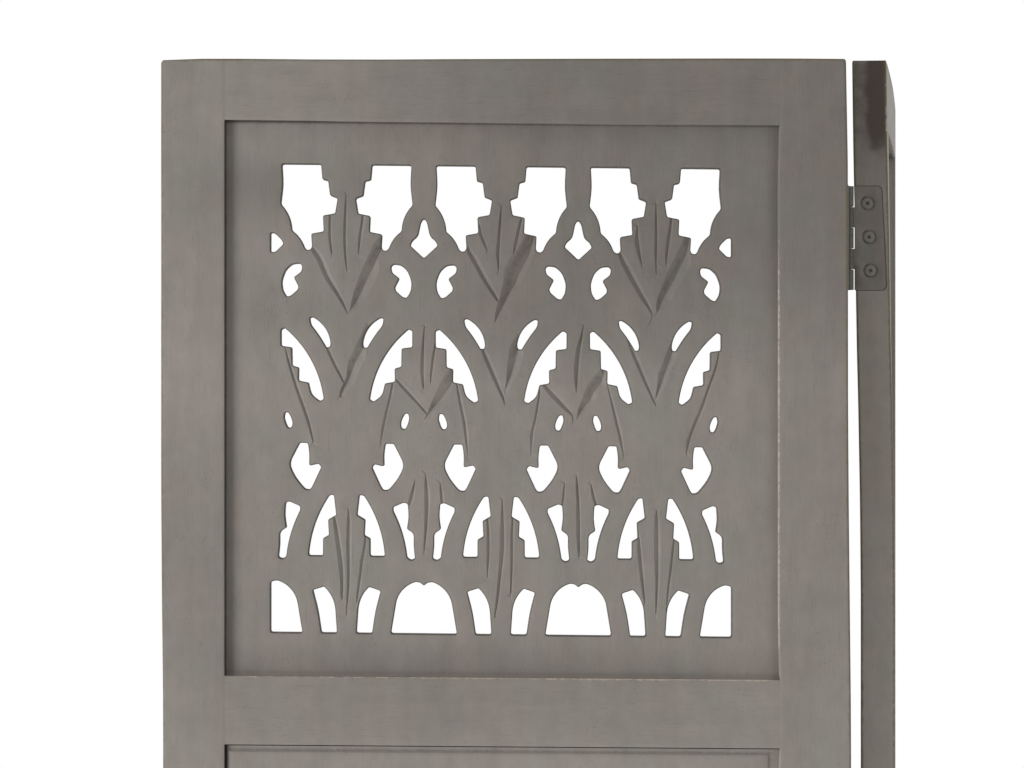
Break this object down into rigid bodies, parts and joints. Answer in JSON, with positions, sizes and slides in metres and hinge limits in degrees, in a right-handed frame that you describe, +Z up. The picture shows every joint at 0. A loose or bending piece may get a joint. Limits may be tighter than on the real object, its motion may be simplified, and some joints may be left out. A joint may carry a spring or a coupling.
{
  "type": "jali screen",
  "caption": "Folding wooden screen of framed panels, each with a pierced and carved jali board above solid fielded boards, joined by butt hinges to stand in a fold or close flat.",
  "frame": {"origin": "on the floor, at the middle of the footprint of the screen as it stands at rest", "axes": "+Z up; +X along the front panel from its free edge to its hinge edge; +Y from the front panel's front face to its back, the way the other panel is folded"},
  "size_m": [0.4678, 0.4234, 1.65],
  "materials": {
    "grey_wood": "matt grey wash, worn",
    "hinge_metal": "painted over with the wood's grey wash",
    "screw_metal": "painted over, worn at the rims",
    "pin_metal": "plain steel"
  },
  "bodies": {
    "front_panel": {"bottom_hinge_front_leaf": "hinge_metal", "bottom_hinge_front_screws": "screw_metal", "bottom_hinge_pin": "pin_metal", "front_bottom_rail": "grey_wood", "front_hinge_stile": "grey_wood", "front_jali_board": "grey_wood", "front_lower_board": "grey_wood", "front_lower_mid_rail": "grey_wood", "front_middle_board": "grey_wood", "front_outer_stile": "grey_wood", "front_top_rail": "grey_wood", "front_upper_mid_rail": "grey_wood", "top_hinge_front_leaf": "hinge_metal", "top_hinge_front_screws": "screw_metal", "top_hinge_pin": "pin_metal"},
    "folded_panel": {"bottom_hinge_folded_leaf": "hinge_metal", "bottom_hinge_folded_screws": "screw_metal", "folded_bottom_rail": "grey_wood", "folded_hinge_stile": "grey_wood", "folded_jali_board": "grey_wood", "folded_lower_board": "grey_wood", "folded_lower_mid_rail": "grey_wood", "folded_middle_board": "grey_wood", "folded_outer_stile": "grey_wood", "folded_top_rail": "grey_wood", "folded_upper_mid_rail": "grey_wood", "top_hinge_folded_leaf": "hinge_metal", "top_hinge_folded_screws": "screw_metal"}
  },
  "joints": [
    {"name": "fold", "type": "hinge", "parent": "front_panel", "child": "folded_panel", "pos_m": [0.16796, -0.18748, 0.825], "axis": [0, 0, 1], "range_deg": [-92, 96]}
  ]
}
